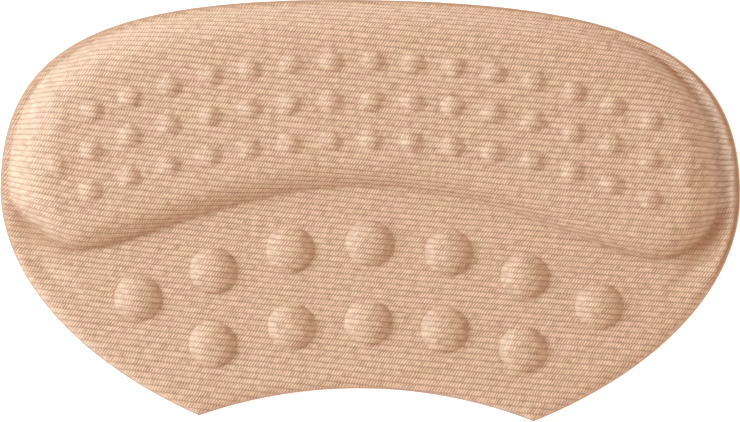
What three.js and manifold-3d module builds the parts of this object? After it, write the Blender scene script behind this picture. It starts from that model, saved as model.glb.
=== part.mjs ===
// Heel pad: a knit-covered foam grip for the back of a shoe, lying on its back with its face up.
// Millimetres, +Z up. The origin is the middle of the underside. X runs along the pad and +Y points
// to the upper side, where the raised cushion is.

import * as THREE from 'three';
import { mergeVertices } from 'three/addons/utils/BufferGeometryUtils.js';
import Module from 'manifold-3d';

const wasm = await Module();
wasm.setup();

// Plan of the whole pad
const pad_width = 95;
const pad_height = 53.7;
const widest_height = 29; // of the widest place, above the two lower tips
const tip_spacing = 43;
const notch_rise = 3.85; // of the hollow lower edge, in its middle, above the tips
const flank_angle = 23; // degrees, of the sides where they run into the tips

// Layers, from the underside up
const backing_thickness = 0.6;
const foam_thickness = 0.9;
const clearance = 0.3; // between the foam and the cover
const cover_wall = 1;

// Pressed rim
const rim_drop = 0.8; // of the rim below the face of the flat part
const rim_width = 0.9;
const bevel_width = 0.6;
const edge_round = 0.25;

// Raised cushion
const cushion_height = 2.6; // above the face of the flat part
const foot_run = 0.3; // how far the cushion's foot stands inside the rim
const cushion_depth = 22.8; // from its upper edge to the crease, in the middle
const lobe_drop = 8.7; // how much lower the crease hangs near the ends
const lobe_inset = 9; // from each end to the lowest place of the crease
const top_slope = 4;
const end_slope = 5.6;
const crease_slope = 3.9;

// Nubs: domes raised in the cover
const large_nub = { radius: 3.2, rise: 1.4, sides: 16 };
const large_nub_pitch = 9.9;
const large_first_row = 7.4; // from the crease down to the first row
const large_row_pitch = 9.8;
const large_row_count = 2;
const small_nub = { radius: 1.45, rise: 0.5, sides: 9 };
const small_nub_pitch = 5.2;
const small_row_pitch = 5.1;

// Fullness of the plan's curves: the length of each handle as a share of the stretch it spans
const shoulder = { from_end: 0.735, from_top: 0.74 };
const flank = { from_tip: 0.7, from_end: 0.37 };
const lobe_outside = { from_lobe: 0.39, from_end: 0.45 };
const crease = { from_middle: 0.455, from_lobe: 0.18 };
const crown_lobe = 0.4; // of lobe_inset, left on the crown

// Places on the cushion's slope, as shares of its width, and on a dome, as shares of its foot's angle
const slope_shares = [0.1, 0.24, 0.4, 0.6, 1];
const dome_shares = { large: [1, 0.72, 0.42, 0.16], hollow: [1, 0.6, 0.22], small: [1, 0.55, 0.2] };
const root_share = 0.7; // of the cover's wall, how deep a dome is rooted in it

// Points on each curve of half an outline
const shoulder_steps = 14;
const flank_steps = 10;
const notch_steps = 5;
const lobe_steps = 6;
const crease_steps = 10;

// Heights and places that follow
const top_y = pad_height / 2;
const tip_y = -pad_height / 2;
const widest_y = tip_y + widest_height;
const base_top = backing_thickness + foam_thickness + clearance + cover_wall;
const rim_top = base_top - rim_drop;
const cushion_margin = rim_width + foot_run;
const cushion_end = pad_width / 2 - cushion_margin;
const cushion_top = top_y - cushion_margin;
const crease_y = cushion_top - cushion_depth;
const lobe_x = cushion_end - lobe_inset;

const materials = {
  knit: new THREE.MeshStandardMaterial({ color: 0xcda580, roughness: 0.9, metalness: 0 }),
  foam: new THREE.MeshStandardMaterial({ color: 0xe9dcc2, roughness: 0.95, metalness: 0 }),
  backing: new THREE.MeshStandardMaterial({ color: 0xa97650, roughness: 0.7, metalness: 0 }),
};

function at(x, y) {
  return new THREE.Vector2(x, y);
}

function curve(from, handle_from, handle_to, to) {
  return new THREE.CubicBezierCurve(from, handle_from, handle_to, to);
}

// The curve from the widest place of an end up to the middle of the upper edge
function shoulderCurve(end, top) {
  const across = end.x - top.x;
  const up = top.y - end.y;
  return curve(end, at(end.x, end.y + shoulder.from_end * up), at(shoulder.from_top * across, top.y), top);
}

// A closed outline, counterclockwise from the middle of the lower edge, from the curves of its right
// half and the number of points on each
function wholeOutline(stretches) {
  const right = [];
  for (const { path, steps } of stretches) {
    const points = path.getPoints(steps);
    right.push(...points.slice(0, -1));
  }
  const top = stretches.at(-1).path.getPoint(1);
  const left = right.slice(1).reverse().map((point) => at(-point.x, point.y));
  return [...right, top, ...left];
}

// The hollow lower edge, an arc from the middle to the right tip
function notchArc() {
  const half = tip_spacing / 2;
  const radius = (half ** 2 + notch_rise ** 2) / (2 * notch_rise);
  const middle_y = tip_y + notch_rise - radius;
  const sweep = Math.asin(half / radius);
  return new THREE.EllipseCurve(0, middle_y, radius, radius, Math.PI / 2, Math.PI / 2 - sweep, true);
}

function padOutline() {
  const end = at(pad_width / 2, widest_y);
  const tip = at(tip_spacing / 2, tip_y);
  const along = THREE.MathUtils.degToRad(flank_angle);
  const reach = flank.from_tip * (end.x - tip.x);
  const tip_handle = at(tip.x + reach * Math.cos(along), tip.y + reach * Math.sin(along));
  const end_handle = at(end.x, end.y - flank.from_end * widest_height);
  return wholeOutline([
    { path: notchArc(), steps: notch_steps },
    { path: curve(tip, tip_handle, end_handle, end), steps: flank_steps },
    { path: shoulderCurve(end, at(0, top_y)), steps: shoulder_steps },
  ]);
}

// The crease below the cushion, from its middle to the lowest place of the right lobe
function creaseCurve(inset, lobe) {
  const middle = at(0, crease_y + inset);
  const middle_handle = at(crease.from_middle * lobe.x, middle.y);
  const lobe_handle = at(lobe.x * (1 - crease.from_lobe), lobe.y);
  return curve(middle, middle_handle, lobe_handle, lobe);
}

// The cushion's bean shape, drawn in from its foot by the three insets, with its lobes' lowest places
// lobe_run in from the ends
function cushionOutline(inset, lobe_run) {
  const end = at(cushion_end - inset.end, widest_y);
  const lobe = at(end.x - lobe_run, crease_y - lobe_drop + inset.crease);
  const lobe_handle = at(lobe.x + lobe_outside.from_lobe * lobe_run, lobe.y);
  const end_handle = at(end.x, end.y - lobe_outside.from_end * (end.y - lobe.y));
  return wholeOutline([
    { path: creaseCurve(inset.crease, lobe), steps: crease_steps },
    { path: curve(lobe, lobe_handle, end_handle, end), steps: lobe_steps },
    { path: shoulderCurve(end, at(0, cushion_top - inset.top)), steps: shoulder_steps },
  ]);
}

// An outline moved inward by a distance, each corner along the middle of its angle
function insetOutline(outline, distance) {
  return outline.map((point, i) => {
    const before = outline[(i + outline.length - 1) % outline.length];
    const after = outline[(i + 1) % outline.length];
    const incoming = point.clone().sub(before).normalize();
    const outgoing = after.clone().sub(point).normalize();
    const inward = at(-incoming.y - outgoing.y, incoming.x + outgoing.x).normalize();
    const normal = at(-incoming.y, incoming.x);
    return point.clone().addScaledVector(inward, distance / inward.dot(normal));
  });
}

function raise(outline, z) {
  return outline.map((point) => new THREE.Vector3(point.x, point.y, z));
}

// A closed body through counterclockwise rings of equally many points, the lowest ring first
function loft(rings) {
  const count = rings[0].length;
  const index = [];
  for (let ring = 0; ring + 1 < rings.length; ring++) {
    for (let i = 0; i < count; i++) {
      const low = ring * count + i;
      const next = ring * count + (i + 1) % count;
      index.push(low, next, next + count, low, next + count, low + count);
    }
  }
  const lowest = THREE.ShapeUtils.triangulateShape(rings[0], []);
  const highest = THREE.ShapeUtils.triangulateShape(rings.at(-1), []);
  const top_start = count * (rings.length - 1);
  for (const [a, b, c] of lowest) {
    index.push(a, c, b);
  }
  for (const [a, b, c] of highest) {
    index.push(top_start + a, top_start + b, top_start + c);
  }
  const geometry = new THREE.BufferGeometry().setFromPoints(rings.flat());
  geometry.setIndex(index);
  return toSolid(geometry);
}

function toSolid(geometry) {
  geometry.deleteAttribute('normal');
  geometry.deleteAttribute('uv');
  const merged = mergeVertices(geometry);
  const vertProperties = new Float32Array(merged.attributes.position.array);
  const triVerts = new Uint32Array(merged.index.array);
  return new wasm.Manifold(new wasm.Mesh({ numProp: 3, vertProperties, triVerts }));
}

function toMesh(name, solid, material) {
  const { vertProperties, triVerts, numProp } = solid.getMesh();
  const geometry = new THREE.BufferGeometry();
  geometry.setAttribute('position', new THREE.BufferAttribute(new Float32Array(vertProperties), numProp));
  geometry.setIndex(new THREE.BufferAttribute(new Uint32Array(triVerts), 1));
  geometry.computeVertexNormals();
  const mesh = new THREE.Mesh(geometry, material);
  mesh.name = name;
  return mesh;
}

function join(solids) {
  return solids.reduce((joined, solid) => joined.add(solid));
}

// The flat part's outer form, from the bottom of the cover up, with the pressed rim round it
function baseForm() {
  const outline = padOutline();
  return loft([
    raise(outline, backing_thickness),
    raise(outline, rim_top - edge_round),
    raise(insetOutline(outline, edge_round), rim_top),
    raise(insetOutline(outline, rim_width), rim_top),
    raise(insetOutline(outline, rim_width + bevel_width), base_top),
  ]);
}

// The same form a distance further in, with its sides parallel to the bevel, down to a floor
function innerBaseForm(depth, floor) {
  const top = base_top - depth;
  const bevel_run = bevel_width / rim_drop;
  const bevel_angle = Math.atan(rim_drop / bevel_width);
  const top_inset = rim_width + bevel_width + depth * Math.tan(bevel_angle / 2);
  const outline = padOutline();
  return loft([
    raise(insetOutline(outline, top_inset - (top - floor) * bevel_run), floor),
    raise(insetOutline(outline, top_inset), top),
  ]);
}

function cushionFoot() {
  return cushionOutline({ top: 0, end: 0, crease: 0 }, lobe_inset);
}

function cushionCrown() {
  return cushionOutline({ top: top_slope, end: end_slope, crease: crease_slope }, lobe_inset * crown_lobe);
}

// The cushion's slope is a cubic: steepest at its foot, level at the crown
function slopeHeight(share) {
  return cushion_height * (1 - (1 - share) ** 3);
}

function slopeAngle(share, width) {
  return Math.atan(3 * cushion_height / width * (1 - share) ** 2);
}

// Rings up the cushion's slope, a depth below its skin
function cushionRings(depth) {
  const foot = cushionFoot();
  const crown = cushionCrown();
  const ring = (place) => foot.map((point, i) => {
    const width = point.distanceTo(crown[i]);
    const { run, z } = place(width);
    const spot = point.clone().lerp(crown[i], run / width);
    return new THREE.Vector3(spot.x, spot.y, z);
  });
  const floor_ring = ring((width) => (
    { run: depth * Math.tan(slopeAngle(0, width) / 2), z: base_top - depth }));
  const slope_rings = slope_shares.map((share) => ring((width) => {
    const angle = slopeAngle(share, width);
    const run = share * width + depth * Math.sin(angle);
    return { run, z: base_top + slopeHeight(share) - depth * Math.cos(angle) };
  }));
  return [floor_ring, ...slope_rings];
}

// The cushion's outer form, whose foot spreads to the rim and is rooted in it
function cushionForm() {
  const spread = { top: -foot_run, end: -foot_run, crease: -foot_run };
  const foot = cushionOutline(spread, lobe_inset);
  const root = rim_top - root_share * (rim_top - backing_thickness);
  return loft([raise(foot, root), raise(foot, rim_top), ...cushionRings(0)]);
}

// The hollow under the cushion's skin, carried straight down to a floor
function cushionHollow(depth, floor) {
  const rings = cushionRings(depth);
  const down = rings[0].map((point) => new THREE.Vector3(point.x, point.y, floor));
  return loft([down, ...rings]);
}

// A nub's dome on a spot of the skin, or the dome a depth below it, rooted straight down
function dome({ point, normal }, nub, { root, depth, shares }) {
  const sphere = (nub.radius ** 2 + nub.rise ** 2) / (2 * nub.rise);
  const middle = nub.rise - sphere;
  const radius = sphere - depth;
  const foot_angle = Math.acos((-depth - middle) / radius);
  const turn = new THREE.Quaternion().setFromUnitVectors(new THREE.Vector3(0, 0, 1), normal);
  const circle = (size, z) => {
    const points = new THREE.EllipseCurve(0, 0, size, size).getPoints(nub.sides);
    return raise(points.slice(0, -1), z).map((corner) => corner.applyQuaternion(turn).add(point));
  };
  const rings = shares.map((share) => {
    const angle = foot_angle * share;
    return circle(radius * Math.sin(angle), middle + radius * Math.cos(angle));
  });
  return loft([circle(radius * Math.sin(foot_angle), -root), ...rings]);
}

// Height of the crease above or below the middle of the pad, a distance to the side
function creaseHeight(x) {
  const lobe = at(lobe_x, crease_y - lobe_drop);
  const points = creaseCurve(0, lobe).getPoints(crease_steps);
  const after = Math.max(1, points.findIndex((point) => point.x >= Math.abs(x)));
  const from = points[after - 1];
  const to = points[after];
  return THREE.MathUtils.mapLinear(Math.abs(x), from.x, to.x, from.y, to.y);
}

// The large nubs stand in rows that follow the crease, wherever they clear the rim
function largeNubSpots() {
  const outline = padOutline();
  const needed = rim_width + bevel_width + large_nub.radius;
  const spots = [];
  for (let row = 0; row < large_row_count; row++) {
    const columns = Math.floor(lobe_x / large_nub_pitch);
    for (let column = -columns; column <= columns; column++) {
      const x = column * large_nub_pitch;
      const place = at(x, creaseHeight(x) - large_first_row - row * large_row_pitch);
      if (outline.every((point) => point.distanceTo(place) > needed)) {
        const point = new THREE.Vector3(place.x, place.y, base_top);
        spots.push({ point, normal: new THREE.Vector3(0, 0, 1) });
      }
    }
  }
  return spots;
}

// The cushion's skin over a place of its plan: the slope is found on the nearest line from foot to crown
function cushionSpot(place) {
  const foot = cushionFoot();
  const crown = cushionCrown();
  let nearest = { distance: Infinity };
  foot.forEach((start, i) => {
    const way = crown[i].clone().sub(start);
    const share = Math.min(1, place.clone().sub(start).dot(way) / way.lengthSq());
    const distance = start.clone().addScaledVector(way, share).distanceTo(place);
    if (distance < nearest.distance) {
      nearest = { distance, share, way };
    }
  });
  const { share, way } = nearest;
  const angle = slopeAngle(share, way.length());
  const uphill = way.normalize().multiplyScalar(Math.sin(angle));
  return {
    point: new THREE.Vector3(place.x, place.y, base_top + slopeHeight(share)),
    normal: new THREE.Vector3(-uphill.x, -uphill.y, Math.cos(angle)),
  };
}

// The small nubs stand in rows that bend with the cushion, as far as its crown reaches
function smallNubSpots() {
  const middle_y = cushion_top - cushion_depth / 2;
  const over_lobe = cushionFoot().reduce((best, point) => (
    point.y > widest_y && Math.abs(point.x - lobe_x) < Math.abs(best.x - lobe_x) ? point : best));
  const lobe_middle_y = (over_lobe.y + crease_y - lobe_drop) / 2;
  const sag = middle_y - lobe_middle_y;
  const bend = (lobe_x ** 2 + sag ** 2) / (2 * sag);
  const columns = Math.floor(bend * Math.asin((cushion_end - end_slope) / bend) / small_nub_pitch);
  const rows = Math.floor((cushion_depth - top_slope - crease_slope) / 2 / small_row_pitch);
  const spots = [];
  for (let row = -rows; row <= rows; row++) {
    for (let column = -columns; column <= columns; column++) {
      const angle = column * small_nub_pitch / bend;
      const y = middle_y + row * small_row_pitch - bend * (1 - Math.cos(angle));
      spots.push(cushionSpot(at(bend * Math.sin(angle), y)));
    }
  }
  return spots;
}

// The knit cover: one skin over cushion, flat part and nubs, open underneath
function knitCover() {
  const large = { root: root_share * cover_wall, depth: 0, shares: dome_shares.large };
  const small = { root: root_share * cover_wall, depth: 0, shares: dome_shares.small };
  const under = { root: base_top, depth: cover_wall, shares: dome_shares.hollow };
  const below = 0;
  const skin = join([
    baseForm(),
    cushionForm(),
    ...largeNubSpots().map((spot) => dome(spot, large_nub, large)),
    ...smallNubSpots().map((spot) => dome(spot, small_nub, small)),
  ]);
  const hollow = join([
    innerBaseForm(cover_wall, below),
    cushionHollow(cover_wall, below),
    ...largeNubSpots().map((spot) => dome(spot, large_nub, under)),
  ]);
  return skin.subtract(hollow);
}

// The foam sheet under the whole cover, with a bump below each large nub
function baseFoam() {
  const depth = cover_wall + clearance;
  const bump = { root: base_top - backing_thickness, depth, shares: dome_shares.hollow };
  return join([
    innerBaseForm(depth, backing_thickness),
    ...largeNubSpots().map((spot) => dome(spot, large_nub, bump)),
  ]);
}

// The thick bean of foam that raises the cushion, lying on the foam sheet
function cushionFoam() {
  return loft(cushionRings(cover_wall + clearance));
}

// The thin sheet under everything, whose cut edge shows round the rim
function backing() {
  const geometry = new THREE.ExtrudeGeometry(new THREE.Shape(padOutline()), {
    depth: backing_thickness,
    bevelEnabled: false,
  });
  return toSolid(geometry);
}

const heel_pad = new THREE.Group();
heel_pad.add(toMesh('knit_cover', knitCover(), materials.knit));
heel_pad.add(toMesh('cushion_foam', cushionFoam(), materials.foam));
heel_pad.add(toMesh('base_foam', baseFoam(), materials.foam));
heel_pad.add(toMesh('backing', backing(), materials.backing));

export default heel_pad;
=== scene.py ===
"""Heel pad: a rib-knit grip for the back of a shoe, lying face up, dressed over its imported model.

Lengths are in millimetres, as in the part's source, until a mesh is made. X runs along the pad and +Y
points to the upper side, where the raised cushion is. A named pair, such as LIP_X, says where a form
begins and where it is whole, for smooth_step. Depths are counted inwards from a line: edge from the pad's
outline, and foot from the line round the cushion's foot, so that foot is less than nothing outside it.
"""
import math

import bpy
import numpy as np
from mathutils.geometry import delaunay_2d_cdt
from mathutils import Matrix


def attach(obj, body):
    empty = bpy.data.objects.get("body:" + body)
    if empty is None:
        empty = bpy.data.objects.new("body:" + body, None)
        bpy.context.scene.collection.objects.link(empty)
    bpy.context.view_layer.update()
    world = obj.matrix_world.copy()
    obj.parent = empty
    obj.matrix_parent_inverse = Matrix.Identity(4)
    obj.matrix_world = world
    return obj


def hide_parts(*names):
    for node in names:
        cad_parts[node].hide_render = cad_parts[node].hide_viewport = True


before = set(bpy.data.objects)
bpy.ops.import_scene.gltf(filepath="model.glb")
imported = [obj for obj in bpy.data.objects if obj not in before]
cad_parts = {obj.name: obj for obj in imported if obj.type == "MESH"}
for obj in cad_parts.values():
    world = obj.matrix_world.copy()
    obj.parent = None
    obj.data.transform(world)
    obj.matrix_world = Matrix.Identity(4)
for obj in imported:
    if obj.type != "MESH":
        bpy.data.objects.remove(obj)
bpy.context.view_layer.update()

MM = 0.001

# Plan of the pad, as in the part's source
PAD_WIDTH = 95
PAD_HEIGHT = 53.7
WIDEST_HEIGHT = 29
TIP_SPACING = 43
NOTCH_RISE = 3.85
FLANK_ANGLE = 23
CUSHION_DEPTH = 22.8
LOBE_DROP = 8.7
LOBE_INSET = 9

# Fullness of the plan's curves
SHOULDER = (0.735, 0.74)
FLANK = (0.7, 0.37)
LOBE_OUTSIDE = (0.39, 0.45)
CREASE = (0.455, 0.18)
CROWN_LOBE = 0.4

# Layers, as in the part's source
BACKING = 0.6
FOAM = 0.9
CLEARANCE = 0.3
WALL = 1.0
CUSHION_HEIGHT = 2.6

# The skin's edge and its pressed rim
RIM_DROP = 0.8
RIM_WIDTH = 0.9
EDGE_TOP = 1.55
ROLL_WIDTH = 1.5
CUSHION_ROLL = 0.6
NEAR_FOOT = (-6.5, -3.0)
NEAR_EDGE = (-5.5, -2.2)

# The raised flange beside the cushion's right end
LIP = 1.2
LIP_SINK = 0.15
LIP_X = (34, 42)
FLANGE_FOOT = (-1, 0.5)

# The cushion's foot, and how far its ends lie towards -X
FOOT_RUN = 0.3
TOP_FOOT = 0.6
END_FOOT = 2.0
END_SHIFT = 1.0
SHIFT_Y = (-4, 3)
FOOT_GAP = (0.9, 2.4)
FOOT_FALL = 2.5

# The cushion's slopes, and where its round ends are
TOP_SLOPE = 4.1
END_SLOPE = 6.2
CREASE_SLOPE = 4.3
SLOPE_POWER = 2.1
END_POWER = 2.6
POWER_X = (30, 42)
POWER_Y = (-6, 0)
END_X = (38, 43)
END_Y = (-3, 3)

# The corner between the cushion and the flat part
RIM_FILLET = 0.06
CREASE_FILLET = 0.25
END_FILLET = 0.7
FILLET_EDGE = (0.8, 2.5)
END_FILLET_GAP = (1.4, 2.8)
CREASE_DIP = 0.22
DIP_WIDTH = 0.35
DIP_MIDDLE = 0.3
DIP_X = (15, 34)
DIP_EDGE = (0.8, 2.2)

# Nubs: places in the right half, and in the middle
LARGE_RADIUS = 3.02
LARGE_RISE = 1.4
LARGE_ROWS = {
    "upper": ((0, -4.36), (10.15, -5.37), (19.96, -8.25), (29.57, -11.88)),
    "lower": ((0, -14.53), (9.8, -15.23), (19.9, -17.66)),
}
DOME_POWER = 0.68
DOME_FOOT = 0.04
SMALL_RADIUS = 1.4
SMALL_RISE = 0.62
SMALL_COLUMNS = (0, 5.2, 10.4, 15.6, 20.7, 25.8, 30.85, 35.75, 40.2)
SMALL_ROWS = (18.95, 13.9, 8.8)
SMALL_SHARES = {40.2: (0.35, 0.8, 0.35)}  # the end columns' rises, beside a whole one
SMALL_BEND = 95
SMALL_ON_SLOPE = (0.25, 0.9)

# Ribs of the knit: their pitch, their run over the pad, and how they close up on slopes
CROWN_PITCH = 0.775
FLAT_PITCH = 0.706
LOW_PITCH_Y = (14, 18)
RIB_LEVEL = 14
RIB_TILT = -0.0805
RIB_BOW = 0.00031
RIB_WAVER = 0.06
RIB_GATHER = 1.1
END_GATHER = 0.5
GATHER_X = (28, 42)
CLIMB_LIMIT = 1.4
END_PULL = 0.2
END_REACH = 9
PULL_X = (28, 40)
PULL_LIMIT = 1.2
PULL_CENTRE = 7
PULL_FROM_Y = -15
JOINED_END_Y = (-5, 4)
JOINED_TOP_Y = (10, 16)

# The ribs' section, where they rise from the edge and from the foot, and the skin's slow unevenness
RIB_RELIEF = 0.085
RIB_ROUNDNESS = 2.4
RIB_MIDDLE = 0.6
RIB_EDGE_SHARE = 0.45
RIB_EDGE = (0.05, 0.4)
RIB_INSIDE = (0.6, 1.5)
RIB_FOOT = (0.02, 0.25)
UNEVENNESS = 0.025
UNEVEN_FREQUENCY = 1.7
UNEVEN_EDGE = (0.5, 3)

# The brown rim's width: everywhere, more beside the cushion, and more again along the right flange, where
# the extra brown is painted shade
RIM_BAND = 0.2
CUSHION_BAND = 0.12
FLANGE_SHADE_BAND = 0.65
BAND_X = (36, 46)
BAND_FADE = (-1.0, -0.6)

# Painted shade: the dark line along the cushion's foot, and the dark patches beside its lobes
LINE_WIDTH = 0.3
LINE_MIDDLE = 0.15
LINE_ENDS = 0.65
LINE_X = (24, 36)
PATCH = 0.75
PATCH_X = (37, 43)
PATCH_Y = (-2, 1.5)
PATCH_START = (0, 0.4)
PATCH_FOOT = (-3.4, -0.8)
CREASE_SHADE_EDGE = (0.9, 1.6)
FLANGE_DRAWN = math.radians(36)

# The cover's underside, and the two foams under it
HOLLOW_INSET = 1.1
SIDE_SLOPE = 1.3
ROOF_GAP = 0.05
NUB_UNDER = 0.75
BASE_INSET = 1.55
BASE_BUMP = 0.95
BASE_BUMP_FROM = (0.35, 1.4)
BEAN_INSET = 0.8
BEAN_END_INSET = 2.6

# The backing's cut edge
ROUNDED_IN = 0.04
ROUNDED_UP = 0.06

# Fineness of the meshes
ROWS_A_RIB = 6
COLUMN = 0.4
EDGE_STEP = 0.25
EDGE_LINE_STEP = 0.8
FOOT_STEP = 0.4
LINE_STEP = 1.0
COARSE = 1.6
EDGE_RINGS = (0.08, 0.25)
NUB_RINGS = (2.9, 3.02, 3.16)
NUB_RING_POINTS = 72
RING_CLEAR = 0.06
EDGE_CLEAR = 0.1
FOOT_CLEAR = 0.08
PADDING_STEP = 0.9
PADDING_CLEAR = 0.4
ROOF_CLEAR = 0.5
BACKING_GRID_INSET = 0.8
BACKING_CLEAR = 0.3
GRID_X = 47.2
GRID_Y = 27
TABLE_X = 48
TABLE_Y = 27.6
TABLE_COLUMN = 0.5
TABLE_ROW = 0.1
SCAN_STEP = 0.05

TOP_Y = PAD_HEIGHT / 2
TIP_Y = -PAD_HEIGHT / 2
WIDEST_Y = TIP_Y + WIDEST_HEIGHT
BASE_TOP = BACKING + FOAM + CLEARANCE + WALL
RIM_TOP = BASE_TOP - RIM_DROP
CUSHION_END = PAD_WIDTH / 2 - RIM_WIDTH - FOOT_RUN
CUSHION_TOP = TOP_Y - RIM_WIDTH - FOOT_RUN
CREASE_Y = CUSHION_TOP - CUSHION_DEPTH


# Curves and outlines

def bezier(start, first, second, end):
    t = np.linspace(0, 1, 201)[:, None]
    start, first, second, end = (np.array(p, float) for p in (start, first, second, end))
    return (1 - t) ** 3 * start + 3 * (1 - t) ** 2 * t * first + 3 * (1 - t) * t ** 2 * second + t ** 3 * end


def shoulder_curve(end, top):
    rise = top[1] - end[1]
    return bezier(end, (end[0], end[1] + SHOULDER[0] * rise), (SHOULDER[1] * (end[0] - top[0]), top[1]), top)


def notch_arc():
    half = TIP_SPACING / 2
    radius = (half ** 2 + NOTCH_RISE ** 2) / (2 * NOTCH_RISE)
    turn = np.linspace(0, math.asin(half / radius), 60)
    return np.column_stack((radius * np.sin(turn), TIP_Y + NOTCH_RISE - radius + radius * np.cos(turn)))


def evenly(path, step):
    """The path's points again, a step apart."""
    along = np.concatenate(([0], np.cumsum(np.hypot(*np.diff(path, axis=0).T))))
    places = np.linspace(0, along[-1], max(2, round(along[-1] / step) + 1))
    return np.column_stack([np.interp(places, along, column) for column in path.T])


def whole(stretches, step):
    """A closed outline, counterclockwise, from the curves of its right half."""
    right = np.concatenate([evenly(path, step)[:-1] for path in stretches])
    left = right[1:][::-1] * (-1, 1)
    return np.concatenate((right, stretches[-1][-1:], left))


def pad_outline(step):
    end = (PAD_WIDTH / 2, WIDEST_Y)
    tip = (TIP_SPACING / 2, TIP_Y)
    reach = FLANK[0] * (end[0] - tip[0])
    turn = math.radians(FLANK_ANGLE)
    tip_handle = (tip[0] + reach * math.cos(turn), tip[1] + reach * math.sin(turn))
    flank = bezier(tip, tip_handle, (end[0], end[1] - FLANK[1] * WIDEST_HEIGHT), end)
    return whole((notch_arc(), flank, shoulder_curve(end, (0, TOP_Y))), step)


def cushion_outline(top_inset, end_inset, crease_inset, lobe_run, step):
    end = (CUSHION_END - end_inset, WIDEST_Y)
    lobe = (end[0] - lobe_run, CREASE_Y - LOBE_DROP + crease_inset)
    middle = (0, CREASE_Y + crease_inset)
    crease = bezier(middle, (CREASE[0] * lobe[0], middle[1]), (lobe[0] * (1 - CREASE[1]), lobe[1]), lobe)
    outside = bezier(lobe, (lobe[0] + LOBE_OUTSIDE[0] * lobe_run, lobe[1]),
                     (end[0], end[1] - LOBE_OUTSIDE[1] * (end[1] - lobe[1])), end)
    return whole((crease, outside, shoulder_curve(end, (0, CUSHION_TOP - top_inset))), step)


def foot_outline(step):
    """The line round the cushion's foot, whose two ends both lie a little towards -X, as on the real pad."""
    top_spread = RIM_WIDTH + FOOT_RUN - TOP_FOOT
    end_spread = RIM_WIDTH + FOOT_RUN - END_FOOT
    line = cushion_outline(-top_spread, -end_spread, 0, LOBE_INSET + end_spread, step)
    line[:, 0] -= END_SHIFT * (line[:, 0] / CUSHION_END) ** 2 * smooth_step(*SHIFT_Y, line[:, 1])
    return line


def inset(outline, distance):
    incoming = outline - np.roll(outline, 1, 0)
    outgoing = np.roll(outline, -1, 0) - outline
    incoming /= np.hypot(*incoming.T)[:, None]
    outgoing /= np.hypot(*outgoing.T)[:, None]
    inward = np.column_stack((-incoming[:, 1] - outgoing[:, 1], incoming[:, 0] + outgoing[:, 0]))
    inward /= np.hypot(*inward.T)[:, None]
    normal = np.column_stack((-incoming[:, 1], incoming[:, 0]))
    return outline + inward * (distance / (inward * normal).sum(1))[:, None]


def depth_inside(points, outline):
    """How far each point lies inside a closed outline, less than nothing outside it."""
    at_once = 4000  # points, to keep the arrays small
    way = np.roll(outline, -1, 0) - outline
    steep = np.where(way[:, 1] == 0, 1e-12, way[:, 1])
    depth = np.empty(len(points))
    for first in range(0, len(points), at_once):
        away = points[first:first + at_once, None] - outline
        along = np.clip((away * way).sum(2) / (way ** 2).sum(1), 0, 1)
        distance = np.hypot(away[..., 0] - along * way[:, 0], away[..., 1] - along * way[:, 1]).min(1)
        rises = (away[..., 1] < 0) != (away[..., 1] < way[:, 1])
        crossed = rises & (away[..., 0] < away[..., 1] / steep * way[:, 0])
        depth[first:first + at_once] = np.where(crossed.sum(1) % 2 == 1, distance, -distance)
    return depth


def smooth_step(low, high, value):
    t = np.clip((value - low) / (high - low), 0, 1)
    return t * t * (3 - 2 * t)


def smooth_max(a, b, reach):
    share = np.clip(0.5 + 0.5 * (b - a) / reach, 0, 1)
    return a + (b - a) * share + reach * share * (1 - share)


# Heights of the knit's skin. The lines are the outlines again, with fewer points, for measuring depths

OUTLINE = pad_outline(EDGE_STEP)
EDGE_LINE = pad_outline(EDGE_LINE_STEP)
FOOT = foot_outline(FOOT_STEP)
FOOT_LINE = foot_outline(LINE_STEP)
CROWN_LINE = cushion_outline(TOP_SLOPE, END_SLOPE, CREASE_SLOPE, LOBE_INSET * CROWN_LOBE, LINE_STEP)


def round_end(x, y):
    """One at the cushion's round ends and beyond, nothing along its crease."""
    return smooth_step(*END_X, np.abs(x)) * smooth_step(*END_Y, y)


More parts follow.
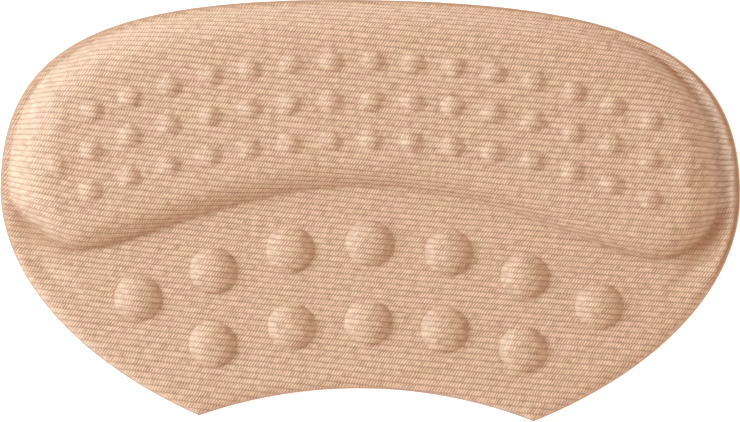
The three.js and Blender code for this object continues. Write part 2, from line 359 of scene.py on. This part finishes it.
class Place:
    """How deep some points lie inside the pad and inside the cushion's foot, and how high up its slope."""

    def __init__(self, points):
        self.x, self.y = points.T
        self.edge = np.maximum(depth_inside(points, EDGE_LINE), 0)
        self.foot = depth_inside(points, FOOT_LINE)
        to_crown = np.maximum(-depth_inside(points, CROWN_LINE), 0)
        self.share = np.clip(self.foot / np.maximum(self.foot + to_crown, 1e-6), 0, 1)
        self.by_cushion = smooth_step(*NEAR_FOOT, self.foot) * smooth_step(*NEAR_EDGE, -self.edge)

    def base_height(self):
        """Height of the flat part, pressed down to the rim beside the cushion, and of the right flange."""
        roll_width = ROLL_WIDTH + (CUSHION_ROLL - ROLL_WIDTH) * self.by_cushion
        roll = np.clip(1 - self.edge / roll_width, 0, 1)
        to_foot = np.clip(self.edge / np.maximum(self.edge - self.foot, 0.1), 0, 1)
        lip = (LIP * (1 - to_foot) - LIP_SINK) * smooth_step(*LIP_X, self.x)
        top = BASE_TOP - (RIM_DROP - lip) * self.by_cushion
        return EDGE_TOP + (top - EDGE_TOP) * np.sqrt(1 - roll ** 2)

    def cushion_height(self):
        """Height of the cushion, which falls steeply on outside its foot."""
        foot_z = RIM_TOP + RIM_DROP * smooth_step(*FOOT_GAP, self.edge - self.foot)
        crown_z = BASE_TOP + CUSHION_HEIGHT
        ends = smooth_step(*POWER_X, np.abs(self.x)) * smooth_step(*POWER_Y, self.y)
        rise = 1 - (1 - self.share) ** (SLOPE_POWER + (END_POWER - SLOPE_POWER) * ends)
        slope = foot_z + (crown_z - foot_z) * rise
        return np.where(self.foot > 0, slope, foot_z + FOOT_FALL * self.foot)

    def height(self):
        """Height of the skin without its nubs and ribs."""
        end = round_end(self.x, self.y)
        fillet = RIM_FILLET + (CREASE_FILLET - RIM_FILLET) * smooth_step(*FILLET_EDGE, self.edge)
        fillet += END_FILLET * end * smooth_step(*END_FILLET_GAP, self.edge - self.foot)
        skin = smooth_max(self.base_height(), self.cushion_height(), fillet)
        along = DIP_MIDDLE + (1 - DIP_MIDDLE) * smooth_step(*DIP_X, np.abs(self.x))
        dip = CREASE_DIP * along * smooth_step(*DIP_EDGE, self.edge) * (1 - end)
        return skin - dip * np.exp(-(self.foot / DIP_WIDTH) ** 2)


def cap(distance, radius, rise):
    """A dome's height at a distance from its middle, with a small round at its foot."""
    dome = rise * np.maximum(1 - (distance / radius) ** 2, 0) ** DOME_POWER
    return smooth_max(dome, np.zeros_like(dome), DOME_FOOT)


def mirrored(places):
    return [(side * x, y) for x, y in places for side in ((1, -1) if x else (1,))]


def large_nubs():
    return mirrored(LARGE_ROWS["upper"] + LARGE_ROWS["lower"])


def small_nubs():
    """The place of each small nub, and its share of the full rise."""
    places = []
    for row, y in enumerate(SMALL_ROWS):
        for column in SMALL_COLUMNS:
            share = SMALL_SHARES.get(column, (1, 1, 1))[row]
            for x in {column, -column}:
                places.append((x, y - SMALL_BEND + math.sqrt(SMALL_BEND ** 2 - x ** 2), share))
    return places


def nub_height(points, share):
    """Height of the nubs over the skin. The small ones fade as the share of the cushion's slope falls."""
    height = np.zeros(len(points))
    for x, y in large_nubs():
        distance = np.hypot(points[:, 0] - x, points[:, 1] - y)
        height = np.maximum(height, cap(distance, LARGE_RADIUS, LARGE_RISE))
    high_up = smooth_step(*SMALL_ON_SLOPE, share)
    for x, y, part in small_nubs():
        distance = np.hypot(points[:, 0] - x, points[:, 1] - y)
        height = np.maximum(height, cap(distance, SMALL_RADIUS, SMALL_RISE) * part * high_up)
    return height


# Ribs: a number for every place, a whole one in each valley between two ribs

def waver(points):
    """A slow unevenness, about one in size, from three waves of unlike lengths."""
    x, y = points.T
    bent = np.sin(x / 3.1 + 0.7 * np.sin(y / 4.3))
    slanted = np.sin(x / 7.7 - y / 5.9 + 1.3)
    level = np.sin(y / 2.7 + x / 11)
    return (bent + slanted + level) / 3


def rib_table(cushion):
    """Counts of ribs over a grid of places, on the cushion or on the flat part."""
    x = np.arange(-TABLE_X, TABLE_X + 0.01, TABLE_COLUMN)
    y = np.arange(-TABLE_Y, TABLE_Y + 0.01, TABLE_ROW)
    if cushion:
        points = np.stack(np.meshgrid(x, y, indexing="ij"), -1).reshape(-1, 2)
        climb = np.gradient(Place(points).height().reshape(len(x), len(y)), y, axis=1)
        climb = np.clip(climb, -CLIMB_LIMIT, CLIMB_LIMIT)
        gather = RIB_GATHER + (END_GATHER - RIB_GATHER) * smooth_step(*GATHER_X, np.abs(x))[:, None]
        rate = np.sqrt(1 + (gather * climb) ** 2) / CROWN_PITCH
    else:
        pitch = FLAT_PITCH + (CROWN_PITCH - FLAT_PITCH) * smooth_step(*LOW_PITCH_Y, -y)
        rate = np.tile(1 / pitch, (len(x), 1))
    steps = np.cumsum((rate[:, 1:] + rate[:, :-1]) / 2 * TABLE_ROW, 1)
    count = np.concatenate((np.zeros((len(x), 1)), steps), 1)
    middle = RIB_LEVEL + RIB_TILT * x + RIB_BOW * x ** 2
    for i, line in enumerate(middle):
        count[i] -= np.interp(line, y, count[i])
    return x, y, count


RIB_TABLES = {cushion: rib_table(cushion) for cushion in (True, False)}


def table_number(points, table):
    """The table's count at each point, blended from the four places round it."""
    rib_x, rib_y, count = table
    column = np.clip((points[:, 0] - rib_x[0]) / TABLE_COLUMN, 0, len(rib_x) - 1.001)
    row = np.clip((points[:, 1] - rib_y[0]) / TABLE_ROW, 0, len(rib_y) - 1.001)
    i, j = column.astype(int), row.astype(int)
    a, b = column - i, row - j
    low = count[i, j] * (1 - b) + count[i, j + 1] * b
    high = count[i + 1, j] * (1 - b) + count[i + 1, j + 1] * b
    return low * (1 - a) + high * a


def pulled(points):
    """Places before the ends' ribs were drawn together, towards the widest place."""
    x, y = points.T
    upper = OUTLINE[(OUTLINE[:, 0] > 0) & (OUTLINE[:, 1] > PULL_FROM_Y)]
    upper = upper[np.argsort(upper[:, 1])]
    out = np.interp(y, upper[:, 1], upper[:, 0])
    near = np.clip(1 - (out - np.abs(x)) / END_REACH, 0, PULL_LIMIT) * smooth_step(*PULL_X, np.abs(x))
    return np.column_stack((x, PULL_CENTRE + (y - PULL_CENTRE) * (1 + END_PULL * near ** 2)))


def joined(points):
    """How far the ribs outside the cushion run on from its own: wholly round its ends and its top."""
    x, y = points.T
    ends = smooth_step(*END_X, np.abs(x)) * smooth_step(*JOINED_END_Y, y)
    return np.maximum(ends, smooth_step(*JOINED_TOP_Y, y))


def rib_number(points, cushion):
    number = table_number(pulled(points), RIB_TABLES[True])
    if not cushion:
        flat = table_number(points, RIB_TABLES[False])
        number = flat + (number - flat) * joined(points)
    return number + RIB_WAVER * waver(points)


# Meshes

def triangulate(flat, loops, hole=None):
    """Triangles over flat places, inside the first loop, along every loop and outside the hole."""
    edges = [(int(a), int(b)) for loop in loops[1:] for a, b in zip(loop, np.roll(loop, -1))]
    found = delaunay_2d_cdt([tuple(p) for p in flat], edges, [[int(i) for i in loops[0]]], 1, 1e-7)
    index = np.array([origin[0] for origin in found[3]])
    faces = index[np.array(found[2])]
    if hole is not None:
        faces = faces[depth_inside(flat[faces].mean(1), flat[hole]) < 0]
    return faces


def new_object(name, verts, faces, uv=None, values=None):
    """An object with three corners a face. uv is given for each corner, and values for each point."""
    mesh = bpy.data.meshes.new(name)
    mesh.from_pydata((np.asarray(verts) * MM).tolist(), [], np.asarray(faces).tolist())
    if uv is not None:
        mesh.uv_layers.new(name="knit").data.foreach_set("uv", uv.ravel())
    for key, value in (values or {}).items():
        mesh.attributes.new(key, "FLOAT", "POINT").data.foreach_set("value", value)
    mesh.shade_smooth()
    mesh.set_sharp_from_angle(angle=math.radians(60))
    obj = bpy.data.objects.new(name, mesh)
    bpy.context.scene.collection.objects.link(obj)
    return obj


def vertex_normals(verts, faces):
    a, b, c = verts[faces[:, 0]], verts[faces[:, 1]], verts[faces[:, 2]]
    across = np.cross(b - a, c - a)
    normals = np.zeros_like(verts)
    for corner in range(3):
        np.add.at(normals, faces[:, corner], across)
    return normals / np.linalg.norm(normals, axis=1)[:, None]


def strip(upper, lower):
    """Faces of a wall between two loops of equally many points, seen from outside."""
    faces = []
    for a, b, c, d in zip(upper, lower, np.roll(lower, -1), np.roll(upper, -1)):
        faces += [(a, b, c), (a, c, d)]
    return faces


def grid_inside(outline, step, margin):
    low, high = outline.min(0), outline.max(0)
    x = np.arange(low[0], high[0], step)
    y = np.arange(low[1], high[1], step)
    points = np.stack(np.meshgrid(x, y, indexing="ij"), -1).reshape(-1, 2)
    return points[depth_inside(points, outline) > margin]


def rib_grid(cushion):
    """Points in rows that follow the ribs."""
    lines = np.arange(-GRID_Y, GRID_Y + 0.01, SCAN_STEP)
    points = []
    for x in np.arange(-GRID_X, GRID_X + 0.01, COLUMN):
        number = rib_number(np.column_stack((np.full(len(lines), x), lines)), cushion)
        number = np.maximum.accumulate(number + 1e-9 * np.arange(len(lines)))
        first, last = math.ceil(number[0] * ROWS_A_RIB), math.floor(number[-1] * ROWS_A_RIB)
        rows = np.arange(first, last + 1) / ROWS_A_RIB
        points.append(np.column_stack((np.full(len(rows), x), np.interp(rows, number, lines))))
    return np.concatenate(points)


def with_nub_rings(points):
    """The points, with rings of points round each large nub's foot to keep it crisp."""
    clear = np.ones(len(points), bool)
    around = np.linspace(0, 2 * math.pi, NUB_RING_POINTS + 1)[1:, None]
    rings = []
    for x, y in large_nubs():
        distance = np.hypot(points[:, 0] - x, points[:, 1] - y)
        for radius in NUB_RINGS:
            clear &= np.abs(distance - radius) > RING_CLEAR
            rings.append(np.hstack((x + radius * np.cos(around), y + radius * np.sin(around))))
    return np.concatenate([points[clear]] + rings)


def cover_grids():
    """Places in the flat part and in the cushion, clear of the edge's rings and of the cushion's foot."""
    flat = rib_grid(False)
    flat = flat[depth_inside(flat, EDGE_LINE) > EDGE_RINGS[-1] + EDGE_CLEAR]
    flat = with_nub_rings(flat[depth_inside(flat, FOOT) < -FOOT_CLEAR])
    cushion = rib_grid(True)
    return flat, cushion[depth_inside(cushion, FOOT) > FOOT_CLEAR]


def rib_profile(number):
    """A rib's rounded section, from nothing in the valleys to one on its crest."""
    part = np.abs(2 * (number % 1) - 1)
    return np.sqrt(np.maximum(1 - part ** RIB_ROUNDNESS, 0))


def raise_skin(plan, place, faces, number):
    """Points of the skin with its nubs and ribs, and its normals without the ribs."""
    height = place.height() + nub_height(plan, place.share)
    height += UNEVENNESS * waver(plan * UNEVEN_FREQUENCY) * smooth_step(*UNEVEN_EDGE, place.edge)
    verts = np.column_stack((plan, height))
    normals = vertex_normals(verts, faces)
    raised = RIB_EDGE_SHARE * smooth_step(*RIB_EDGE, place.edge)
    raised += (1 - RIB_EDGE_SHARE) * smooth_step(*RIB_INSIDE, place.edge)
    raised *= np.maximum(smooth_step(*RIB_FOOT, np.abs(place.foot)), joined(plan))
    ribs = RIB_RELIEF * raised * (rib_profile(number) - RIB_MIDDLE)
    return verts + normals * ribs[:, None], normals


def knit_looks(plan, place, normals):
    """Four looks at each point.

    drawn is the slope along the ribs, in radians, where stitches lie too close to tell apart and where
    painted shade darkens the skin. The others go from 0 to 1: rim is the brown edge, widened along the right
    flange by painted shade; the dark line and patches by the crease are painted shade; flange marks the
    strip beside the cushion's right end, made pale by a painted highlight.
    """
    x, y = plan.T
    out = np.abs(x)
    end = round_end(x, y)
    flange = end * smooth_step(*END_X, x) * smooth_step(*FLANGE_FOOT, -place.foot)
    drawn = np.arctan(np.abs(normals[:, 0]) / np.maximum(normals[:, 2], 0.01))
    drawn = np.maximum(drawn, FLANGE_DRAWN * flange)
    # The brown edge is the rim's own colour; its extra width along the right flange is painted shade
    band = RIM_BAND + (CUSHION_BAND + FLANGE_SHADE_BAND * smooth_step(*BAND_X, x)) * place.by_cushion
    rim = smooth_step(*BAND_FADE, -place.edge / band)
    # Painted shade: a dark line along the foot, and patches beside the lobes
    line = (LINE_MIDDLE + LINE_ENDS * smooth_step(*LINE_X, out)) * np.exp(-np.abs(place.foot) / LINE_WIDTH)
    patch = PATCH * smooth_step(*PATCH_X, out) * smooth_step(*PATCH_Y, -y)
    patch *= smooth_step(*PATCH_START, -place.foot) * smooth_step(*PATCH_FOOT, place.foot)
    fold = np.minimum(((1 - end) * line + patch) * smooth_step(*CREASE_SHADE_EDGE, place.edge), 1)
    return {"rim": rim, "drawn": drawn, "fold": fold, "flange": flange}


def cover_back(start):
    """The cover's bulging wall and hollow underside: points, the first numbered start, and faces."""
    wall_rows = ((1.3, 0.04), (0.95, 0.05), (BACKING, 0))  # height, bulge
    ring = np.arange(len(OUTLINE))
    wall, wall_faces, upper = [], [], ring
    for z, bulge in wall_rows:
        wall.append(np.column_stack((inset(OUTLINE, -bulge), np.full(len(OUTLINE), z))))
        lower = start + ring
        wall_faces += strip(upper, lower)
        upper, start = lower, start + len(ring)
    hollow = inset(pad_outline(COARSE), HOLLOW_INSET)
    roof = grid_inside(hollow, COARSE, ROOF_CLEAR)
    below = np.concatenate((OUTLINE, hollow, roof))
    below_faces = triangulate(below, [ring, np.arange(len(hollow)) + len(ring)])
    where = np.concatenate((upper, start + np.arange(len(below) - len(ring))))
    heights = np.concatenate((np.full(len(hollow), float(BACKING)), under_height(roof, WALL)))
    under = np.column_stack((below[len(ring):], heights))
    faces = np.concatenate((np.array(wall_faces), where[below_faces][:, ::-1]))
    return np.concatenate(wall + [under]), faces


def knit_cover():
    rings = [OUTLINE] + [inset(OUTLINE, distance) for distance in EDGE_RINGS]
    flat_grid, cushion_grid = cover_grids()
    plan = np.concatenate(rings + [FOOT, flat_grid, cushion_grid])
    ring = np.arange(len(OUTLINE))
    foot_loop = np.arange(len(FOOT)) + len(rings) * len(ring)
    first_cushion = len(plan) - len(cushion_grid)

    # The flat part and the cushion are meshed apart, in maps where the ribs run level, and share the foot
    flat_number, cushion_number = (rib_number(plan, cushion) for cushion in (False, True))
    flat_map = np.column_stack((plan[:, 0], flat_number * CROWN_PITCH))
    cushion_map = np.column_stack((plan[:, 0], cushion_number * CROWN_PITCH))
    loops = [ring + i * len(ring) for i in range(len(rings))]
    flat_faces = triangulate(flat_map[:first_cushion], loops + [foot_loop], foot_loop)
    inner = np.concatenate((foot_loop, np.arange(first_cushion, len(plan))))
    cushion_faces = inner[triangulate(cushion_map[inner], [np.arange(len(foot_loop))])]
    faces = np.concatenate((flat_faces, cushion_faces))

    place = Place(plan)
    place.edge[ring] = 0
    number = np.where(np.arange(len(plan)) < first_cushion, flat_number, cushion_number)
    verts, normals = raise_skin(plan, place, faces, number)
    looks = knit_looks(plan, place, normals)
    back, back_faces = cover_back(len(verts))
    verts = np.concatenate((verts, back))
    back_number = rib_number(verts[:, :2], False)
    uv = np.concatenate((
        np.column_stack((plan[:, 0], flat_number))[flat_faces].reshape(-1, 2),
        np.column_stack((plan[:, 0], cushion_number))[cushion_faces].reshape(-1, 2),
        np.column_stack((verts[:, 0], back_number))[back_faces].reshape(-1, 2)))
    for name, value in looks.items():
        looks[name] = np.concatenate((value, np.full(len(back), 1.0 if name == "rim" else 0.0)))
    return new_object("rib_knit_cover", verts, np.concatenate((faces, back_faces)), uv, looks)


def under_height(points, depth):
    """Height of the skin's underside, or of what lies a depth below the skin."""
    reach = 0.05
    heights = []
    for shift in ((0, 0), (reach, 0), (0, reach)):
        place = Place(points + shift)
        heights.append(place.height() + NUB_UNDER * nub_height(points + shift, place.share))
    tilt = np.hypot(heights[1] - heights[0], heights[2] - heights[0]) / reach
    side = BACKING + (depth_inside(points, EDGE_LINE) - HOLLOW_INSET * depth) * SIDE_SLOPE
    return np.maximum(np.minimum(heights[0] - depth * np.sqrt(1 + tilt ** 2), side), BACKING + ROOF_GAP)


def padding(name, outline, top, bottom):
    """A foam piece over a flat bottom, with its top height given for any place."""
    plan = np.concatenate((outline, grid_inside(outline, PADDING_STEP, PADDING_CLEAR)))
    ring = np.arange(len(outline))
    faces = triangulate(plan, [ring])
    count = len(plan)
    upper = np.column_stack((plan, top(plan)))
    lower = np.column_stack((plan, np.full(count, bottom)))
    faces = np.concatenate((faces, faces[:, ::-1] + count, np.array(strip(ring, ring + count))))
    return new_object(name, np.concatenate((upper, lower)), faces)


def backing_sheet():
    """A flat sheet whose cut edge is very slightly rounded, above and below."""
    rows = (  # height, drawn in
        (0.0, ROUNDED_IN),
        (ROUNDED_UP, 0.0),
        (BACKING - ROUNDED_UP, 0.0),
        (BACKING, ROUNDED_IN),
    )
    ring = np.arange(len(OUTLINE))
    faces = []
    for low in range(len(rows) - 1):
        faces += strip(ring + (low + 1) * len(ring), ring + low * len(ring))
    middle = grid_inside(inset(pad_outline(COARSE), BACKING_GRID_INSET), COARSE, BACKING_CLEAR)
    cover = triangulate(np.concatenate((OUTLINE, middle)), [ring])
    verts = np.concatenate([
        np.column_stack((inset(OUTLINE, drawn_in), np.full(len(OUTLINE), z))) for z, drawn_in in rows])
    for z, loop, turn in ((0.0, 0, -1), (BACKING, len(rows) - 1, 1)):
        where = np.concatenate((ring + loop * len(ring), len(verts) + np.arange(len(middle))))
        faces += where[cover][:, ::turn].tolist()
        verts = np.concatenate((verts, np.column_stack((middle, np.full(len(middle), z)))))
    return new_object("backing_sheet", verts, faces)


# Materials

class Nodes:
    """Short calls that build the nodes of one material."""

    def __init__(self, name):
        self.material = bpy.data.materials.new(name)
        self.material.use_nodes = True
        self.tree = self.material.node_tree
        self.shader = self.tree.nodes["Principled BSDF"]

    def put(self, socket, value):
        if isinstance(value, bpy.types.NodeSocket):
            self.tree.links.new(value, socket)
        else:
            socket.default_value = value

    def node(self, kind, inputs=(), **settings):
        made = self.tree.nodes.new(kind)
        for key, value in settings.items():
            setattr(made, key, value)
        for key, value in dict(inputs).items():
            self.put(made.inputs[key], value)
        return made

    def math(self, operation, *values):
        return self.node("ShaderNodeMath", dict(enumerate(values)), operation=operation).outputs[0]

    def plus(self, a, b):
        return self.math("ADD", a, b)

    def minus(self, a, b):
        return self.math("SUBTRACT", a, b)

    def times(self, a, b):
        return self.math("MULTIPLY", a, b)

    def peak(self, part):
        """Nothing where the part is 0 or 1, and one in the middle between."""
        return self.minus(1.0, self.math("ABSOLUTE", self.minus(self.times(part, 2.0), 1.0)))

    def pair(self, a, b):
        return self.node("ShaderNodeCombineXYZ", {0: a, 1: b}).outputs[0]

    def ramp(self, value, low, high, to_low=0.0, to_high=1.0):
        inputs = {"Value": value, "From Min": low, "From Max": high, "To Min": to_low, "To Max": to_high}
        return self.node("ShaderNodeMapRange", inputs, interpolation_type="SMOOTHSTEP").outputs[0]

    def mix(self, share, a, b):
        made = self.node("ShaderNodeMix", {}, data_type="RGBA")
        for socket, value in zip((made.inputs[0], made.inputs[6], made.inputs[7]), (share, a, b)):
            self.put(socket, value)
        return made.outputs[2]

    def noise(self, place, scale, detail=2.0):
        """Smooth noise. On a place, the scale is in waves a metre."""
        inputs = {"Vector": place, "Scale": scale, "Detail": detail}
        return self.node("ShaderNodeTexNoise", inputs).outputs[0]

    def value(self, name):
        return self.node("ShaderNodeAttribute", attribute_name=name).outputs["Fac"]

    def place(self):
        return self.node("ShaderNodeTexCoord").outputs["Object"]

    def bump(self, height, distance, under=None):
        inputs = {"Height": height, "Distance": distance}
        if under is not None:
            inputs["Normal"] = under
        return self.node("ShaderNodeBump", inputs).outputs[0]

    def finish(self, **sockets):
        for key, value in sockets.items():
            self.put(self.shader.inputs[key.replace("_", " ")], value)
        return self.material


def colour(red, green, blue):
    return (red, green, blue, 1.0)


# Colours of the knit, painted shade and a painted highlight among them
YARN_PINK = colour(0.87, 0.55, 0.375)
YARN_SAND = colour(0.85, 0.57, 0.365)
YARN_PALE = colour(0.93, 0.64, 0.46)
# painted highlight on the right flange
FLANGE_HIGHLIGHT_COLOUR = colour(0.96, 0.78, 0.63)
# the dark gaps between stitches, partly painted shade
STITCH_GAP_AND_SHADE = colour(0.38, 0.185, 0.10)
# painted shade in the rib valleys, over darker yarn
RIB_VALLEY_SHADE = colour(0.30, 0.15, 0.085)
# painted shade on slopes
SLOPE_SHADE_COLOUR = colour(0.42, 0.27, 0.18)
# painted shade by the crease
CREASE_SHADE_COLOUR = colour(0.42, 0.19, 0.09)
RIM_DARK = colour(0.35, 0.155, 0.07)
RIM_LIGHT = colour(0.47, 0.24, 0.115)

# Stitches: their length in millimetres, and their lean over a rib and shifts in stitches
STITCH = 0.36
STITCH_LEAN = 1.25
ROW_SHIFT = 5.0
STITCH_JITTER = 1.0

# How strong each of the knit's looks is, from 0 to 1
YARN_LEVEL = 0.66
STITCH_CONTRAST = 0.8
STITCH_CHANCE = 0.3
DRAWN_FADE = 0.85
PALE_YARN = 0.35
FLANGE_HIGHLIGHT_SHARE = 0.6
VALLEY_SHADE_SHARE = 0.52
SLOPE_SHADE_SHARE = 0.2
CREASE_SHADE_SHARE = 0.6
RIM_BROWN = 0.9
DRAWN_FROM = (math.radians(10), math.radians(46))

# Depths of the knit's bumps, in metres
STITCH_BUMP = 0.00005
FIBRE_BUMP = 0.00002


def yarn_colour(n, place):
    warmth = n.ramp(n.noise(place, 480.0), 0.35, 0.65)
    pale = n.times(n.ramp(n.noise(place, 1500.0), 0.4, 0.7), PALE_YARN)
    yarn = n.mix(pale, n.mix(warmth, YARN_PINK, YARN_SAND), YARN_PALE)
    # Painted highlight: the strip beside the cushion's right end is made paler
    return n.mix(n.times(n.value("flange"), FLANGE_HIGHLIGHT_SHARE), yarn, FLANGE_HIGHLIGHT_COLOUR)


def knit_material():
    """Slanted stitches in rows along the ribs. The map counts millimetres along them, and ribs across."""
    n = Nodes("rib knit")
    place = n.place()
    uv = n.node("ShaderNodeUVMap", uv_map="knit").outputs[0]
    length, ribs = n.node("ShaderNodeSeparateXYZ", {0: uv}).outputs[:2]
    part = n.math("FRACT", ribs)
    row = n.math("FLOOR", ribs)
    crest = n.peak(part)
    row_chance = n.node("ShaderNodeTexWhiteNoise", {"W": row}, noise_dimensions="1D").outputs[0]
    along = n.plus(n.math("DIVIDE", length, STITCH), n.times(row_chance, ROW_SHIFT))
    along = n.plus(along, n.times(n.noise(place, 420.0, 1.0), STITCH_JITTER))
    slanted = n.minus(along, n.times(part, STITCH_LEAN))
    bead = n.peak(n.math("FRACT", slanted))
    stitch = n.pair(n.math("FLOOR", slanted), row)
    chance = n.node("ShaderNodeTexWhiteNoise", {"Vector": stitch}, noise_dimensions="2D").outputs[0]

    drawn = n.ramp(n.value("drawn"), *DRAWN_FROM)
    clear = n.minus(1.0, n.times(drawn, DRAWN_FADE))
    # Painted light and shade on each stitch, lit side lighter and gap darker, over the knit's own stitch
    # pattern
    lit = n.times(n.minus(n.ramp(bead, 0.0, 1.0), 0.5), n.times(clear, STITCH_CONTRAST))
    clumps = n.minus(n.noise(n.pair(n.times(length, 0.7), ribs), 1.3), 0.5)
    uneven = n.plus(n.times(n.minus(chance, 0.5), STITCH_CHANCE), clumps)
    yarn_share = n.plus(n.plus(lit, YARN_LEVEL), uneven)
    stitches = n.mix(yarn_share, STITCH_GAP_AND_SHADE, yarn_colour(n, place))
    # Painted shade in the valleys between ribs, where the yarn is also darker
    skin = n.mix(n.ramp(crest, 0.5, 0.0, 0.0, VALLEY_SHADE_SHARE), stitches, RIB_VALLEY_SHADE)
    # Painted shade: the colour darkens where the skin slopes along the ribs
    shaded = n.mix(n.times(drawn, SLOPE_SHADE_SHARE), skin, SLOPE_SHADE_COLOUR)
    # Painted shade along the cushion's foot and in the patches beside its lobes
    folded = n.mix(n.times(n.value("fold"), CREASE_SHADE_SHARE), shaded, CREASE_SHADE_COLOUR)
    brown = n.mix(n.noise(place, 700.0), RIM_DARK, RIM_LIGHT)
    rimmed = n.mix(n.times(n.value("rim"), RIM_BROWN), folded, brown)

    height = n.times(n.times(n.ramp(bead, 0.0, 0.8), n.ramp(crest, 0.0, 0.6)), clear)
    fibres = n.bump(n.noise(place, 5200.0), FIBRE_BUMP)
    return n.finish(Base_Color=rimmed, Normal=n.bump(height, STITCH_BUMP, fibres), Roughness=0.55,
                    Sheen_Weight=0.15, Sheen_Roughness=0.5, Specular_IOR_Level=0.3)


def foam_material():
    n = Nodes("open foam")
    place = n.place()
    cells = n.node("ShaderNodeTexVoronoi", {"Vector": place, "Scale": 2600.0}, feature="DISTANCE_TO_EDGE")
    hollow = n.ramp(cells.outputs[0], 0.0, 0.25)
    patch = n.ramp(n.noise(place, 90.0), 0.3, 0.7)
    tone = n.mix(patch, colour(0.80, 0.71, 0.53), colour(0.86, 0.78, 0.62))
    foam = n.mix(hollow, colour(0.9, 0.84, 0.7), tone)
    return n.finish(Base_Color=foam, Roughness=0.9, Normal=n.bump(hollow, 0.00012))


def backing_material():
    n = Nodes("backing sheet")
    place = n.place()
    grain = n.noise(place, 3200.0, 3.0)
    patch = n.ramp(n.noise(place, 60.0), 0.3, 0.7)
    tone = n.mix(patch, colour(0.36, 0.19, 0.095), colour(0.44, 0.25, 0.13))
    flecked = n.mix(n.ramp(grain, 0.55, 0.75), tone, colour(0.58, 0.38, 0.22))
    roughness = n.ramp(grain, 0.3, 0.7, 0.55, 0.8)
    return n.finish(Base_Color=flecked, Roughness=roughness, Normal=n.bump(grain, 0.00005))


def floor_material():
    n = Nodes("pale floor")
    return n.finish(Base_Color=colour(0.9, 0.9, 0.9), Roughness=0.8, Specular_IOR_Level=0.1,
                    Emission_Color=colour(1.0, 1.0, 1.0), Emission_Strength=0.65)


# The pieces

def foam_pieces():
    """The bean under the cushion and the sheet under the whole cover, each clear of the skin above it."""
    depth = WALL + CLEARANCE
    base_z = BASE_TOP - depth

    def base_top(points):
        bumps = nub_height(points, np.zeros(len(points)))
        return base_z + BASE_BUMP * bumps * smooth_step(*BASE_BUMP_FROM, bumps)

    def bean_top(points):
        return np.maximum(under_height(points, depth), base_z + 0.02)

    base = padding("base_foam_sheet", inset(pad_outline(COARSE), BASE_INSET), base_top, BACKING)
    bean_outline = cushion_outline(BEAN_INSET, BEAN_END_INSET, BEAN_INSET, LOBE_INSET, PADDING_STEP)
    cushion = padding("cushion_foam_bean", bean_outline, bean_top, base_z)
    return cushion, base


def dressed(piece, material):
    piece.data.materials.append(material)
    return piece


def declare(piece, node):
    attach(piece, "root")
    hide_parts(node)


# Floor, light and camera

FLOOR_SIZE = 1      # metres, from its middle to its sides
FLOOR_Z = -0.00003  # metres, a little under the pad's flat underside

WORLD_COLOUR = (1, 0.88, 0.8, 1)
WORLD_STRENGTH = 0.78
KEY_COLOUR = (0.72, 1, 1.2)
KEY_POWER = 3.5
KEY_SIZE = 0.3
KEY_DISTANCE = 0.6
KEY_AZIMUTH = math.radians(14)
KEY_ELEVATION = math.radians(30)

PHOTO_WIDTH = 740
PIXEL = 0.12838  # millimetres a pixel at the rim
TURN = math.radians(1.0026)
MIDDLE = (0.02, -0.23)  # the place of the pad in the middle of the frame
LENS = 300
SENSOR = 36


def stage():
    mesh = bpy.data.meshes.new("floor")
    corners = ((-1, -1), (1, -1), (1, 1), (-1, 1))
    mesh.from_pydata([(x * FLOOR_SIZE, y * FLOOR_SIZE, FLOOR_Z) for x, y in corners], [], [(0, 1, 2, 3)])
    mesh.materials.append(floor_material())
    floor = bpy.data.objects.new("floor", mesh)
    bpy.context.scene.collection.objects.link(floor)


def key_light():
    """A round soft light from the left, whose azimuth is counted from -X towards +Y."""
    light = bpy.data.lights.new("key", "AREA")
    light.shape = "DISK"
    light.size = KEY_SIZE
    light.energy = KEY_POWER
    light.color = KEY_COLOUR
    lamp = bpy.data.objects.new("key", light)
    flat = math.cos(KEY_ELEVATION) * KEY_DISTANCE
    lamp.location = (-flat * math.cos(KEY_AZIMUTH), flat * math.sin(KEY_AZIMUTH),
                     math.sin(KEY_ELEVATION) * KEY_DISTANCE)
    lamp.visible_camera = False
    lamp.rotation_euler = (-lamp.location).to_track_quat("-Z", "Y").to_euler()
    bpy.context.scene.collection.objects.link(lamp)


def studio():
    scene = bpy.context.scene
    scene.view_settings.view_transform = "Standard"
    world = bpy.data.worlds.new("studio")
    world.use_nodes = True
    background = world.node_tree.nodes["Background"]
    background.inputs[0].default_value = WORLD_COLOUR
    background.inputs[1].default_value = WORLD_STRENGTH
    scene.world = world
    key_light()


def camera_above():
    """A camera straight above the pad, far enough for the frame to be as wide as the photograph."""
    camera = bpy.data.cameras.new("camera")
    camera.lens = LENS
    camera.sensor_width = SENSOR
    eye = bpy.data.objects.new("camera", camera)
    away = PHOTO_WIDTH * PIXEL / SENSOR * LENS
    eye.location = (MIDDLE[0] * MM, MIDDLE[1] * MM, (away + RIM_TOP) * MM)
    eye.rotation_euler = (0, 0, TURN)
    bpy.context.scene.collection.objects.link(eye)
    bpy.context.scene.camera = eye


cover = dressed(knit_cover(), knit_material())
foam = foam_material()
cushion, base = (dressed(piece, foam) for piece in foam_pieces())
backing = dressed(backing_sheet(), backing_material())
declare(cover, "knit_cover")
declare(cushion, "cushion_foam")
declare(base, "base_foam")
declare(backing, "backing")
stage()
studio()
camera_above()
